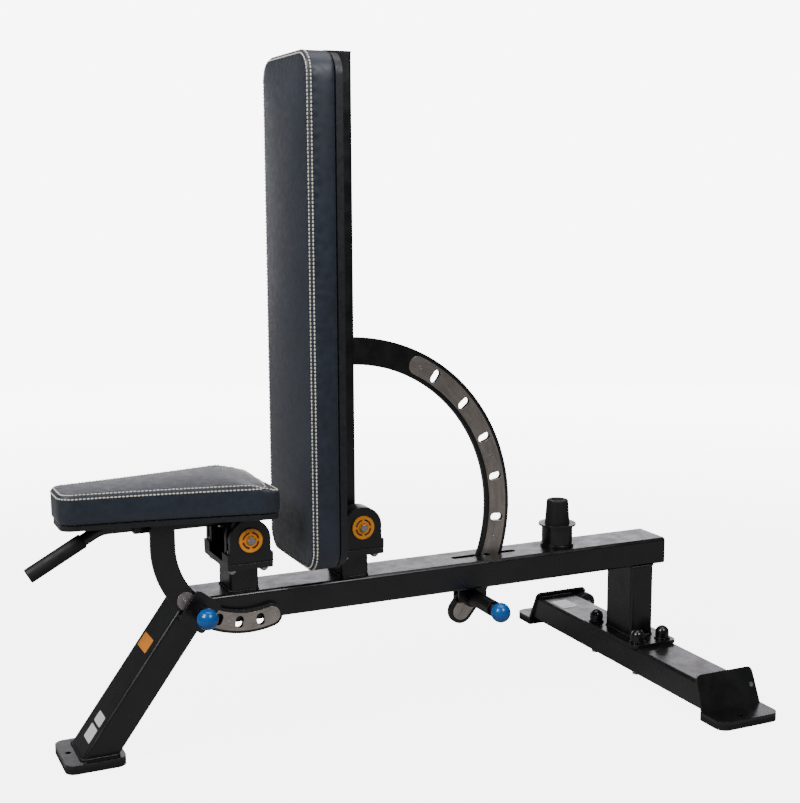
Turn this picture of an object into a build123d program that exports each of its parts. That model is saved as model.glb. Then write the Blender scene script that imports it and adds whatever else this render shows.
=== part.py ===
"""Adjustable weight bench: flat to upright back, rising seat, two spring pins, two transport wheels.

Built in millimetres round the back pivot (0, 0, 0): X runs along the bench with the seat at -X,
Y runs across it, Z is up. At the end everything is moved so that the origin lies under the
middle of the bench, on the floor.
"""
import os
from math import atan2, cos, degrees, pi, radians, sin, sqrt, tan

from build123d import *

# ---- overall sizes -------------------------------------------------------------------------
PIVOT_H = 425.0          # both pivots above the floor
PIVOT_GAP = 240.0        # seat pivot to back pivot, along the bench
PAD_WIDTH = 266.0        # back pad, across
PAD_TOP = 945.0          # back pivot to the top end of the back pad
PAD_TAIL = 76.0          # back pivot to the lower end of the back pad
FACE_OFFSET = 125.0      # back pivot to the face of the back pad
FOOT_SPAN = 856.0        # rear feet, outside to outside

# ---- tubes and plates ----------------------------------------------------------------------
TUBE_W = 105.0           # spine, leg, rear post and crossbar: wide side
TUBE_H = 60.0            # and narrow side
WALL = 3.0
TUBE_R = 7.0             # outside corner of the tubes
PLATE = 6.0              # foot plates and brackets
PAD_RUBBER = 12.0        # rubber under the feet
SPINE_TOP = -114.0
SPINE_END = 769.0
SPINE_FRONT = -367.0     # top corner of the mitre between spine and leg
LEG_LEAN = 36.0          # front leg, from the vertical
REAR_X = 710.0           # middle of the crossbar and the rear post
CROSS_TOP = -348.0
FOOT_LEAN = 23.0         # rear foot brackets, from the vertical
FLANGE_T = 8.0
POST_L = 60.0            # bearing posts, along the bench
POST_W = 80.0            # bearing posts, across
HOLE_D = 12.0            # floor bolt holes in the feet

# ---- bearings ------------------------------------------------------------------------------
SHAFT_D = 25.0
SHAFT_FIT = 0.05         # radial play of a shaft in its bearing
BEARING_D = 47.0
HOUSING_R = 42.0
HOUSING_DROP = 46.0      # shaft to the foot of the housing
HOUSING_L = 94.0
FOOT_T = 18.0
HOUSING_IN = 44.0        # inner and outer face of each housing, from the middle
HOUSING_OUT = 82.0
TOP_PLATE_T = 12.0
BOLT_REACH = 33.0        # housing bolts, either side of the shaft
HUB_D = 42.0
CAP_D = 48.0
FACE_GAP = 0.6           # between a turning cap and its housing

# ---- arcs and pins -------------------------------------------------------------------------
STEP = 15.0              # angle between two positions
ARC_R = 353.5            # back arc, middle of the ring
ARC_W = 57.0
ARC_T = 10.0
ARC_LOW = -46.0          # angle of the lower end of the back arc
BACK_STEPS = 6           # steps from upright to flat
BACK_PIN_A = -35.0       # angle of the back pin
SEAT_ARC_R = 170.0
SEAT_ARC_W = 48.0
SEAT_ARC_Y = -59.0       # middle plane of the seat arc, beside the spine
SEAT_STEPS = 3
SEAT_PIN_A = -127.0
INSERT_T = 2.0
PIN_D = 15.9
PIN_FIT = 0.06           # radial play of a pin in its guide
SLOT_W = 16.6
SLOT_SIDE = 0.6          # arc and insert in the slots of the spine, each side at least
STROKE = 12.0            # travel of both pins
BARREL_D = 34.0
KNOB_D = 42.0

# ---- back and seat -------------------------------------------------------------------------
BOX_T = 59.0             # back cushion
BOARD_T = 14.0
FRAME_D = 60.0           # back frame tube, front to back
FRAME_W = 60.0
PAD_R = 48.0             # corners of the back pad
BOARD_INSET = 5.0
SEAT_TOP = 117.0         # top of the seat above its pivot
SEAT_T = 60.0
SEAT_BOARD_T = 10.0
SEAT_NOSE = -364.0       # nose of the seat, from the seat pivot
SEAT_REAR = 58.0         # rear of the seat, from the seat pivot
SEAT_DIP = 17.0          # the top of the seat falls by this towards its rear edge
SEAT_W = 250.0
NOSE_W = 112.0
SOFT_GAP = 0.3           # cushions clear of their boards
BAR_D = 24.0             # transport handle
GRIP_D = 30.0
HANDLE_DROP = 29.0       # slope of the grip
WHEEL_R = 24.0
WHEEL_W = 22.0
WHEEL_X = 789.5
WHEEL_Z = -371.0
WHEEL_Y = 315.0
AXLE_D = 10.0
AXLE_FIT = 0.08

FLOOR = -PIVOT_H
PLATE_TOP = FLOOR + PAD_RUBBER + PLATE
SEAT_X = -PIVOT_GAP
LEG_L = TUBE_H / cos(radians(LEG_LEAN))
parts = {}


def block(x0, x1, y0, y1, z0, z1):
    return Pos((x0 + x1) / 2, (y0 + y1) / 2, (z0 + z1) / 2) * Box(x1 - x0, y1 - y0, z1 - z0)


def rod_y(x, z, d, y0, y1):
    return Pos(x, (y0 + y1) / 2, z) * Rot(90, 0, 0) * Cylinder(d / 2, abs(y1 - y0))


def rod_z(x, y, d, z0, z1):
    return Pos(x, y, (z0 + z1) / 2) * Cylinder(d / 2, z1 - z0)


def rod_x(x0, x1, y, z, d):
    return Pos((x0 + x1) / 2, y, z) * Rot(0, 90, 0) * Cylinder(d / 2, x1 - x0)


def slab(x0, x1, y0, y1, z0, z1, r):
    """A flat plate with rounded corners in plan."""
    outline = Pos((x0 + x1) / 2, (y0 + y1) / 2, z0) * RectangleRounded(x1 - x0, y1 - y0, r)
    return extrude(outline, amount=z1 - z0)


def section(a, b, wall=WALL, r=TUBE_R):
    return RectangleRounded(a, b, r) - RectangleRounded(a - 2 * wall, b - 2 * wall, r - wall)


def tube(plane, a, b, length, wall=WALL, r=TUBE_R):
    return extrude(plane * section(a, b, wall, r), amount=length)


def beyond(x, z, angle):
    """Everything past a plane through (x, z) whose normal points along angle in the XZ plane."""
    return Pos(x, 0, z) * Rot(0, -angle, 0) * Pos(1500, 0, 0) * Box(3000, 3000, 3000)


def spot(x, z, r, angle):
    return x + r * cos(radians(angle)), z + r * sin(radians(angle))


def hexagon(d, t, plane):
    return extrude(plane * RegularPolygon(d / 2 / cos(pi / 6), 6), amount=t)


def side_plane(x, y, z, towards=-1):
    """A sketch plane facing -Y (or +Y) at a point."""
    return Plane(origin=(x, y, z), x_dir=(1, 0, 0), z_dir=(0, towards, 0))


def ring_piece(x, z, r, w, a0, a1, y0, y1, round_ends=True):
    """Part of a flat ring round a Y axis, from angle a0 to a1, with rounded ends if asked."""
    face = Circle(r + w / 2) - Circle(r - w / 2)
    far = 3 * (r + w)
    spread = radians(a1 - a0)
    n = 8
    fan = [(0, 0)] + [(far * cos(radians(a0) + spread * i / n), far * sin(radians(a0) + spread * i / n))
                      for i in range(n + 1)]
    face = face & make_face(Polyline(*fan, close=True))
    if round_ends:
        for a in (a0, a1):
            face += Pos(r * cos(radians(a)), r * sin(radians(a))) * Circle(w / 2)
    body = extrude(Plane(origin=(x, y1, z), x_dir=(1, 0, 0), z_dir=(0, -1, 0)) * face, amount=y1 - y0)
    return body


def slot_cut(x, z, r, angle, length, width, y0, y1):
    """A radial slot through a ring."""
    outline = Rot(0, 0, angle) * SlotOverall(length, width)
    px, pz = spot(x, z, r, angle)
    return extrude(Plane(origin=(px, y1, pz), x_dir=(1, 0, 0), z_dir=(0, -1, 0)) * outline, amount=y1 - y0)


def flat_screw(x, z, y, d=8.0, depth=6.0):
    """A countersunk screw from the near side, its head flush with y."""
    head = Pos(x, y + 1.0, z) * Rot(90, 0, 0) * Cone(d / 4, d / 2, 2.0)
    return head + rod_y(x, z, d / 2, y + 0.5, y + depth) - hexagon(3.0, 1.2, side_plane(x, y + 1.2, z))


# ---- frame: spine, leg, rear post, crossbar --------------------------------------------------
mitre_low = SPINE_FRONT - TUBE_H * tan(radians(LEG_LEAN)) + LEG_L
mitre_angle = 90.0 - degrees(atan2(TUBE_H, mitre_low - SPINE_FRONT))
spine_mid = SPINE_TOP - TUBE_H / 2
slot_x = ARC_R * cos(radians(-24.0))
slot_l = 158.0
slot_w = ARC_T + 2 * INSERT_T + 2 * SLOT_SIDE + 2.0

spine = tube(Plane(origin=(SPINE_FRONT - 20, 0, spine_mid), x_dir=(0, 1, 0), z_dir=(1, 0, 0)),
             TUBE_W, TUBE_H, SPINE_END - SPINE_FRONT + 20)
spine += block(SPINE_END - WALL, SPINE_END, -TUBE_W / 2 + 2, TUBE_W / 2 - 2,
               SPINE_TOP - TUBE_H + 2, SPINE_TOP - 2)
spine -= beyond(SPINE_FRONT, SPINE_TOP, mitre_angle + 180)
slot_face = Pos(slot_x, 0, SPINE_TOP - TUBE_H - 1) * SlotOverall(slot_l, slot_w)
spine -= extrude(slot_face, amount=TUBE_H + 2)
parts["spine"] = spine

lean = radians(LEG_LEAN)
leg_dir = (sin(lean), 0, cos(lean))
foot_front = SPINE_FRONT - (SPINE_TOP - PLATE_TOP) * tan(lean)
leg_start = (foot_front + LEG_L / 2 - 60 * sin(lean), 0, PLATE_TOP - 60 * cos(lean))
leg = tube(Plane(origin=leg_start, x_dir=(0, 1, 0), z_dir=leg_dir), TUBE_W, TUBE_H, 700)
leg -= beyond(SPINE_FRONT, SPINE_TOP, mitre_angle)
leg -= beyond(0, PLATE_TOP, -90)
parts["front_leg"] = leg

front_x0 = foot_front - 32.0
front_x1 = foot_front + LEG_L + 12.0
front_w = 140.0
front_hole_x = foot_front - 16.0
foot = slab(front_x0, front_x1, -front_w / 2, front_w / 2, PLATE_TOP - PLATE, PLATE_TOP, 20)
parts["front_foot_plate"] = foot - rod_z(front_hole_x, 0, HOLE_D, FLOOR, PLATE_TOP + 5)
pad = slab(front_x0, front_x1, -front_w / 2, front_w / 2, FLOOR, PLATE_TOP - PLATE, 20)
parts["front_foot_pad"] = pad - rod_z(front_hole_x, 0, HOLE_D + 4, FLOOR - 1, PLATE_TOP)

post_low = CROSS_TOP + FLANGE_T
parts["rear_post"] = tube(Plane(origin=(REAR_X, 0, post_low), x_dir=(0, 1, 0), z_dir=(0, 0, 1)),
                          TUBE_W, TUBE_H, SPINE_TOP - TUBE_H - post_low)
flange_l = 116.0
flange_w = 220.0
bolt_x = 34.0
bolt_y = 85.0
M12 = 12.0
corners = [(sx * bolt_x, sy * bolt_y) for sx in (-1, 1) for sy in (-1, 1)]
flange = slab(REAR_X - flange_l / 2, REAR_X + flange_l / 2, -flange_w / 2, flange_w / 2,
              CROSS_TOP, CROSS_TOP + FLANGE_T, 14)
for dx, dy in corners:
    flange -= rod_z(REAR_X + dx, dy, M12 + 1, CROSS_TOP - 1, CROSS_TOP + FLANGE_T + 1)
parts["rear_post_flange"] = flange

lean_run = tan(radians(FOOT_LEAN))
foot_top_y = FOOT_SPAN / 2 - 98.0
cross_len = foot_top_y - 1.0 + TUBE_H * lean_run
cross = tube(Plane(origin=(REAR_X, -cross_len, CROSS_TOP - TUBE_H / 2), x_dir=(1, 0, 0), z_dir=(0, 1, 0)),
             TUBE_W, TUBE_H, 2 * cross_len)
for sy in (-1, 1):
    end = Pos(REAR_X, sy * foot_top_y, CROSS_TOP) * Rot(sy * FOOT_LEAN, 0, 0)
    cross -= end * Pos(0, sy * 500, 0) * Box(400, 1000, 1000)
for dx, dy in corners:
    cross -= rod_z(REAR_X + dx, dy, M12 + 1, CROSS_TOP - TUBE_H - 1, CROSS_TOP + 1)
parts["rear_crossbar"] = cross

bolts = Part()
caps = Part()
head_t = 7.5
low = CROSS_TOP - TUBE_H
nut_z = CROSS_TOP + FLANGE_T
for dx, dy in corners:
    x = REAR_X + dx
    bolts += hexagon(19, head_t, Plane(origin=(x, dy, low - head_t), z_dir=(0, 0, 1)))
    bolts += rod_z(x, dy, M12, low - 0.5, nut_z + 14)
    bolts += hexagon(19, 10, Plane(origin=(x, dy, nut_z), z_dir=(0, 0, 1)))
    shell = rod_z(x, dy, 36, nut_z, nut_z + 3.5) + rod_z(x, dy, 31, nut_z, nut_z + 14)
    dome = Pos(x, dy, nut_z + 14) * Sphere(15.5)
    shell += dome - block(x - 20, x + 20, dy - 20, dy + 20, nut_z - 9, nut_z + 10)
    inside = rod_z(x, dy, 23.0, nut_z - 1, nut_z + 16)
    caps += shell - inside
parts["flange_bolts"] = bolts
parts["flange_bolt_caps"] = caps

# ---- rear feet: bent brackets, rubber, wheels -----------------------------------------------
plate_x0 = REAR_X - 60.0
plate_x1 = REAR_X + 92.0
ear_x0 = REAR_X - 55.0
ear_x1 = REAR_X + 90.0
rise = 10.0
foot_drop = CROSS_TOP - PLATE_TOP + PLATE
ear_len = (foot_drop + rise) / cos(radians(FOOT_LEAN))
bend_y = foot_top_y + foot_drop * lean_run
hole_y = FOOT_SPAN / 2 - 24.0
foot_hole_x = REAR_X + 5.0
outside = FOOT_SPAN / 2
ear_plane = Plane(origin=(REAR_X, -bend_y, PLATE_TOP - PLATE), x_dir=(1, 0, 0),
                  z_dir=(0, -cos(radians(FOOT_LEAN)), sin(radians(FOOT_LEAN))))
ear = extrude(ear_plane * make_face(Polyline((ear_x0 - REAR_X - 4, 0), (ear_x1 - REAR_X + 2, 0),
                                             (ear_x1 - REAR_X, ear_len), (ear_x0 - REAR_X, ear_len),
                                             close=True)), amount=PLATE)
ear_corners = ear.edges().filter_by(lambda e: e.center().Z > CROSS_TOP and abs(e.length - PLATE) < 0.01)
ear = fillet(ear_corners, 12)
base = block(plate_x0, plate_x1, -outside, -bend_y + 2, PLATE_TOP - PLATE, PLATE_TOP)
base = fillet(base.edges().filter_by(Axis.Z).sort_by(Axis.Y)[:2], 22)
bracket = ear + base - rod_z(foot_hole_x, -hole_y, HOLE_D, FLOOR, PLATE_TOP + 5)
sole = block(plate_x0, plate_x1, -outside, -bend_y + 2, FLOOR, PLATE_TOP - PLATE)
sole = fillet(sole.edges().filter_by(Axis.Z).sort_by(Axis.Y)[:2], 22)
sole -= rod_z(foot_hole_x, -hole_y, HOLE_D + 4, FLOOR - 1, PLATE_TOP)

axle_y = foot_top_y + (CROSS_TOP - WHEEL_Z) * lean_run
wheel_in = WHEEL_Y - WHEEL_W / 2
wheel_out = WHEEL_Y + WHEEL_W / 2
bracket -= rod_y(WHEEL_X, WHEEL_Z, AXLE_D, -outside, -WHEEL_Y)
spacer = rod_y(WHEEL_X, WHEEL_Z, 18, -axle_y - 12, -wheel_out - 0.6)
ear_side = Pos(WHEEL_X, -axle_y, WHEEL_Z) * Rot(-FOOT_LEAN, 0, 0)
spacer -= ear_side * Pos(0, -50, 0) * Box(80, 100, 80)
axle = rod_y(WHEEL_X, WHEEL_Z, AXLE_D, -axle_y - 18, -wheel_in + 0.6) + spacer
axle -= ear_side * Pos(0, -50 - PLATE, 0) * Box(80, 100, 80)
axle += hexagon(16, 6, side_plane(WHEEL_X, -wheel_in + 0.6, WHEEL_Z, 1))
wheel = rod_y(WHEEL_X, WHEEL_Z, 2 * WHEEL_R, -wheel_out, -wheel_in)
wheel = chamfer(wheel.edges().filter_by(GeomType.CIRCLE), 2.0)
for y in (-wheel_out, -wheel_in):
    wheel -= rod_y(WHEEL_X, WHEEL_Z, 30, y - 2.5, y + 2.5) - rod_y(WHEEL_X, WHEEL_Z, 19, y - 3, y + 3)
wheel -= rod_y(WHEEL_X, WHEEL_Z, AXLE_D + 2 * AXLE_FIT, -wheel_out - 1, -wheel_in + 1)
for side, turn in (("near", 0), ("far", 1)):
    parts["rear_foot_bracket_" + side] = mirror(bracket, about=Plane.XZ) if turn else bracket
    parts["wheel_" + side] = mirror(wheel, about=Plane.XZ) if turn else wheel
parts["rear_foot_pads"] = Compound(sole.solids() + mirror(sole, about=Plane.XZ).solids())
parts["wheel_axles"] = Compound(axle.solids() + mirror(axle, about=Plane.XZ).solids())

# ---- bearing posts and pillow blocks --------------------------------------------------------
top_z = -HOUSING_DROP
plate_z = top_z - TOP_PLATE_T
plate_w = 2 * HOUSING_OUT + 6.0
bolt_mid = (HOUSING_IN + HOUSING_OUT) / 2
M10 = 10.0
rings = Part()
house_bolts = Part()
for name, px in (("seat", SEAT_X), ("back", 0.0)):
    post = tube(Plane(origin=(px, 0, SPINE_TOP), x_dir=(1, 0, 0), z_dir=(0, 0, 1)),
                POST_L, POST_W, plate_z - SPINE_TOP, wall=4.0)
    top = slab(px - HOUSING_L / 2, px + HOUSING_L / 2, -plate_w / 2, plate_w / 2, plate_z, top_z, 6)
    for side, sy in (("near", -1), ("far", 1)):
        y0, y1 = sorted((sy * HOUSING_IN, sy * HOUSING_OUT))
        face = Pos(0, -HOUSING_DROP + FOOT_T / 2) * Rectangle(HOUSING_L, FOOT_T)
        face += Circle(HOUSING_R)
        shoulder = HOUSING_R * cos(radians(12))
        face += make_face(Polyline((-HOUSING_R, -HOUSING_DROP + FOOT_T), (HOUSING_R, -HOUSING_DROP + FOOT_T),
                                   (shoulder, HOUSING_R * sin(radians(12))),
                                   (-shoulder, HOUSING_R * sin(radians(12))), close=True))
        house = extrude(Plane(origin=(px, y1, 0), x_dir=(1, 0, 0), z_dir=(0, -1, 0)) * face, amount=y1 - y0)
        house -= rod_y(px, 0, BEARING_D, y0 - 1, y1 + 1)
        for dx in (-BOLT_REACH, BOLT_REACH):
            house -= rod_z(px + dx, sy * bolt_mid, M10 + 1, top_z - 1, top_z + FOOT_T + 0.1)
            pocket = rod_z(px + dx, sy * bolt_mid, 20, top_z + FOOT_T, 60)
            house -= pocket
            top -= rod_z(px + dx, sy * bolt_mid, M10 + 1, plate_z - 1, top_z + 1)
            bolt = rod_z(px + dx, sy * bolt_mid, M10, plate_z - 11, top_z + FOOT_T + 0.5)
            bolt += hexagon(16, 6.4, Plane(origin=(px + dx, sy * bolt_mid, top_z + FOOT_T), z_dir=(0, 0, 1)))
            bolt += hexagon(16, 8, Plane(origin=(px + dx, sy * bolt_mid, plate_z - 8), z_dir=(0, 0, 1)))
            house_bolts += bolt
        parts[name + "_bearing_" + side] = house
        yr0, yr1 = sorted((sy * (HOUSING_IN + 8), sy * (HOUSING_OUT - 6)))
        rings += rod_y(px, 0, BEARING_D, yr0, yr1) - rod_y(px, 0, SHAFT_D + 2 * SHAFT_FIT, yr0 - 1, yr1 + 1)
    parts[name + "_post"] = post + top
parts["bearing_rings"] = rings
parts["bearing_bolts"] = house_bolts

# ---- shafts, hubs and end caps --------------------------------------------------------------
for name, px in (("seat", SEAT_X), ("back", 0.0)):
    shaft_end = HOUSING_OUT - 2.0
    shaft = rod_y(px, 0, SHAFT_D, -shaft_end, shaft_end)
    for y in (-shaft_end, shaft_end):
        shaft -= rod_y(px, 0, 8.0, y - 22, y + 22)
    parts[name + "_shaft"] = shaft
    covers = Part()
    screws = Part()
    for sy in (-1, 1):
        y_in = sy * (HOUSING_OUT + FACE_GAP)
        y_out = sy * (HOUSING_OUT + FACE_GAP + 3.4)
        cover = rod_y(px, 0, CAP_D, *sorted((y_in, y_out)))
        cover += rod_y(px, 0, 20, *sorted((sy * shaft_end, y_out)))
        cover -= rod_y(px, 0, 8.4, *sorted((sy * (shaft_end - 1), sy * (HOUSING_OUT + 9))))
        rim = rod_y(px, 0, CAP_D - 13, *sorted((y_out - sy * 0.8, y_out + sy * 1)))
        rim -= rod_y(px, 0, CAP_D - 21, *sorted((y_out - sy * 2, y_out + sy * 2)))
        for a in (0, 90):
            keep = Pos(px, y_out, 0) * Rot(0, 45 + a, 0) * Box(CAP_D, 8, 6)
            rim -= keep
        covers += cover - rim
        screws += rod_y(px, 0, 8.0, *sorted((sy * (shaft_end - 20), y_out)))
        screws += hexagon(13, 4.6, side_plane(px, y_out, 0, sy))
    parts[name + "_end_caps"] = covers
    parts[name + "_cap_screws"] = screws

# ---- bumper ---------------------------------------------------------------------------------
bump_x = 511.0
bump_top = -(FRAME_D - (FACE_OFFSET - BOX_T - BOARD_T)) - 0.4
cup_top = -62.0
cup = rod_z(bump_x, 0, 69, SPINE_TOP, cup_top) - rod_z(bump_x, 0, 59, SPINE_TOP - 1, cup_top - 6)
cup += rod_z(bump_x, 0, 84, cup_top - 4, cup_top) + rod_z(bump_x, 0, 75, SPINE_TOP, SPINE_TOP + 6)
cup -= rod_z(bump_x, 0, 59, SPINE_TOP - 1, cup_top - 6)
cup -= rod_z(bump_x, 0, 9, cup_top - 10, cup_top + 1)
parts["bumper_cup"] = cup
rubber_h = bump_top - cup_top
cone = Pos(bump_x, 0, cup_top + rubber_h / 2) * Cone(28, 24, rubber_h)
cone = fillet(cone.edges().filter_by(GeomType.CIRCLE).sort_by(Axis.Z)[-1], 3.0)
cone -= Pos(bump_x, 0, bump_top - 2.0) * Cone(10, 15, 4.1)
cone -= rod_z(bump_x, 0, 16, cup_top + 12, bump_top + 1)
cone -= rod_z(bump_x, 0, 9, cup_top - 1, bump_top + 1)
parts["bumper_rubber"] = cone
screw = rod_z(bump_x, 0, 8, cup_top - 16, cup_top + 13) + rod_z(bump_x, 0, 14, cup_top + 12, cup_top + 18)
parts["bumper_screw"] = screw + hexagon(13, 6.5, Plane(origin=(bump_x, 0, cup_top - 12.5), z_dir=(0, 0, 1)))

# ---- locking pins ---------------------------------------------------------------------------
springs = Part()


def coil(x, z, y0, y1, mean_d, wire, turns):
    height = y1 - y0 - wire
    path = Helix(pitch=height / turns, height=height, radius=mean_d / 2)
    start = path @ 0
    wire_face = Plane(origin=start, z_dir=path % 0) * Circle(wire / 2)
    body = sweep(wire_face, path=path)
    return Pos(x, y0 + wire / 2, z) * Rot(-90, 0, 0) * body


def pin_set(name, x, z, cheek_in, barrel_end, knob_y, spring_wire, spring_turns, guide_len):
    """Barrel, spring, plunger and knob of a pull pin whose tip rests at cheek_in."""
    cheek_out = cheek_in - PLATE
    bore = PIN_D + 2 * PIN_FIT
    wall = 3.0
    cavity = cheek_out - guide_len
    barrel = rod_y(x, z, BARREL_D, barrel_end, cheek_out)
    barrel -= rod_y(x, z, bore, barrel_end - 1, cheek_out + 1)
    barrel -= rod_y(x, z, 26.0, barrel_end + wall, cavity)
    parts[name + "_pin_barrel"] = barrel
    collar_t = 2.5
    spring_l = spring_wire * (spring_turns + 1.6)
    collar_y = barrel_end + wall + spring_l + 0.4
    plunger = rod_y(x, z, PIN_D, knob_y - 2, cheek_in)
    plunger = chamfer(plunger.edges().filter_by(GeomType.CIRCLE).sort_by(Axis.Y)[-1], 1.2)
    plunger += rod_y(x, z, 24.6, collar_y, collar_y + collar_t)
    parts[name + "_plunger"] = plunger
    flat = barrel_end - STROKE - 1.0
    dome = Pos(x, knob_y, z) * Sphere(KNOB_D / 2) + rod_y(x, z, 27, knob_y, flat)
    dome -= block(x - 40, x + 40, flat, knob_y + 60, z - 40, z + 40)
    dome -= rod_y(x, z, PIN_D, knob_y - 2, knob_y + 60)
    parts[name + "_knob"] = dome
    spring_y = barrel_end + wall + 0.2
    return coil(x, z, spring_y, spring_y + spring_l, 20.8, spring_wire, spring_turns)


bx, bz = spot(0, 0, ARC_R, BACK_PIN_A)
cheek = ARC_T / 2 + INSERT_T + 1.5
guide = Part()
spine_low = SPINE_TOP - TUBE_H
for sy in (-1, 1):
    ya, yb = sorted((sy * cheek, sy * (cheek + PLATE)))
    wall_piece = block(bx - 34, bx + 34, ya, yb, bz - 10, spine_low) + rod_y(bx, bz, 46, ya, yb)
    wall_piece -= block(bx - 60, bx + 60, ya - 1, yb + 1, bz - 60, bz - 24)
    guide += wall_piece
guide -= rod_y(bx, bz, PIN_D + 2 * PIN_FIT, -cheek - PLATE - 1, cheek + PLATE + 1)
parts["back_pin_guide"] = guide
springs += pin_set("back", bx, bz, -cheek, -112.0, -141.0, 1.8, 6, 30)

sx, sz = spot(SEAT_X, 0, SEAT_ARC_R, SEAT_PIN_A)
seat_face = SEAT_ARC_Y - ARC_T / 2 - INSERT_T - 1.5
gx = sin(radians(LEG_LEAN))
gz = cos(radians(LEG_LEAN))
frame_on_leg = Plane(origin=(sx, seat_face, sz), x_dir=(gz, 0, -gx), z_dir=(0, -1, 0))
seat_guide = extrude(frame_on_leg * RectangleRounded(60, 70, 8), amount=PLATE)
leg_side = -TUBE_W / 2
stand = SEAT_ARC_W / 2 + 7.0
for da in (-6, 4.5):
    cx, cz = spot(SEAT_X, 0, SEAT_ARC_R + stand, SEAT_PIN_A + da)
    seat_guide += rod_y(cx, cz, 12, seat_face, leg_side)
seat_guide -= rod_y(sx, sz, PIN_D + 2 * PIN_FIT, seat_face - PLATE - 1, seat_face + 1)
parts["seat_pin_guide"] = seat_guide
springs += pin_set("seat", sx, sz, seat_face, seat_face - PLATE - 26.5, seat_face - PLATE - 48.5, 1.2, 2.0, 3)
parts["pin_springs"] = springs

# ---- back: frame tube, arc, insert, board, cushion -------------------------------------------
rear_face = -FACE_OFFSET + BOX_T + BOARD_T
frame_back = rear_face + FRAME_D
frame_mid = (rear_face + frame_back) / 2
frame_low = -30.0
frame_top = PAD_TOP + 6.0
back_tube = tube(Plane(origin=(frame_mid, 0, frame_low), x_dir=(1, 0, 0), z_dir=(0, 0, 1)),
                 FRAME_D, FRAME_W, frame_top - frame_low)
for z in (frame_low, frame_top - WALL):
    back_tube += block(rear_face + 1, frame_back - 1, -FRAME_W / 2 + 1, FRAME_W / 2 - 1, z, z + WALL)
hub_half = HOUSING_IN - 2.0
back_tube += rod_y(0, 0, HUB_D, -hub_half, hub_half)
back_tube -= rod_y(0, 0, SHAFT_D, -hub_half - 1, hub_half + 1)
pad_bolts_z = (200.0, 450.0, 700.0)
bolt_len = FRAME_D + 11.0
back_bolts = Part()
for z in pad_bolts_z:
    back_tube -= rod_x(rear_face - 1, frame_back + 1, 0, z, 8.6)
    back_bolts += rod_x(frame_back - bolt_len, frame_back + 0.5, 0, z, 8.0)
    back_bolts += hexagon(13, 5.5, Plane(origin=(frame_back, 0, z), z_dir=(1, 0, 0)))
parts["back_frame"] = back_tube

arc_top = degrees(atan2(sqrt(ARC_R ** 2 - frame_back ** 2), frame_back))
back_slots = [BACK_PIN_A + STEP * i for i in range(BACK_STEPS + 1)]
arc = ring_piece(0, 0, ARC_R, ARC_W, ARC_LOW + 4.6, arc_top + 6, -ARC_T / 2, ARC_T / 2)
arc -= block(-400, frame_back, -50, 50, 0, 600)
insert = ring_piece(0, 0, ARC_R, 40.0, ARC_LOW + 4.6, back_slots[-1] + 8.0, -ARC_T / 2 - INSERT_T, -ARC_T / 2)
screws = Part()
screw_angles = (back_slots[-1] + 6.5, back_slots[3] + STEP / 2, back_slots[1] + STEP / 2, BACK_PIN_A - 6.4)
for a in back_slots:
    cut = slot_cut(0, 0, ARC_R, a, 30.0, SLOT_W, -20, 20)
    arc -= cut
    insert -= cut
for a in screw_angles:
    qx, qz = spot(0, 0, ARC_R, a)
    screw = flat_screw(qx, qz, -ARC_T / 2 - INSERT_T)
    hole = rod_y(qx, qz, 4.2, -20, 20)
    hole += Pos(qx, -ARC_T / 2 - INSERT_T + 1, qz) * Rot(90, 0, 0) * Cone(2.1, 4.1, 2)
    arc -= hole
    insert -= hole
    screws += screw
parts["back_arc"] = arc
parts["back_arc_insert"] = insert
parts["back_insert_screws"] = screws

back_mid = (PAD_TOP - PAD_TAIL) / 2
pad_l = PAD_TOP + PAD_TAIL
board_plane = Plane(origin=(rear_face, 0, back_mid), x_dir=(0, 1, 0), z_dir=(-1, 0, 0))
board = extrude(board_plane * RectangleRounded(PAD_WIDTH - 2 * BOARD_INSET, pad_l - 2 * BOARD_INSET,
                                               PAD_R - BOARD_INSET), amount=BOARD_T)
for z in pad_bolts_z:
    board -= rod_x(rear_face - bolt_len + FRAME_D - 0.5, rear_face + 1, 0, z, 8.0)
parts["back_board"] = board
soft_plane = Plane(origin=(rear_face - BOARD_T - SOFT_GAP, 0, back_mid), x_dir=(0, 1, 0), z_dir=(-1, 0, 0))
cushion = extrude(soft_plane * RectangleRounded(PAD_WIDTH, pad_l, PAD_R), amount=BOX_T - SOFT_GAP)
cushion = fillet(cushion.faces().sort_by(Axis.X)[0].edges(), 4.0)
parts["back_cushion"] = cushion
parts["back_pad_bolts"] = back_bolts

# ---- seat: frame, arc, board, cushion, handle -------------------------------------------------
board_low = SEAT_TOP - SEAT_T - SEAT_BOARD_T
seat_tube_w = 50.0
seat_tube_t = board_low - HUB_D / 2 - 0.5
seat_tube_x0 = SEAT_X - 215.0
seat_tube_x1 = SEAT_X + 24.0
seat_mid = board_low - seat_tube_t / 2
seat_tube = tube(Plane(origin=(seat_tube_x0, 0, seat_mid), x_dir=(0, 1, 0), z_dir=(1, 0, 0)),
                 seat_tube_w, seat_tube_t, seat_tube_x1 - seat_tube_x0, wall=2.5, r=5)
seat_tube += rod_y(SEAT_X, 0, HUB_D, -hub_half, hub_half)
for x0, x1 in ((seat_tube_x0, seat_tube_x0 + 14.0), (seat_tube_x1 - 4.0, seat_tube_x1)):
    seat_tube += block(x0, x1, -seat_tube_w / 2 + 1, seat_tube_w / 2 - 1,
                       board_low - seat_tube_t + 1, board_low - 1)
saddle = block(SEAT_X - 17, SEAT_X + 17, -hub_half + 6, hub_half - 6, 8, board_low - seat_tube_t + 1.5)
seat_tube += saddle
seat_tube -= rod_y(SEAT_X, 0, SHAFT_D, -hub_half - 1, hub_half + 1)
arc_out = SEAT_ARC_R + SEAT_ARC_W / 2
arc_in = SEAT_ARC_R - SEAT_ARC_W / 2
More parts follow.
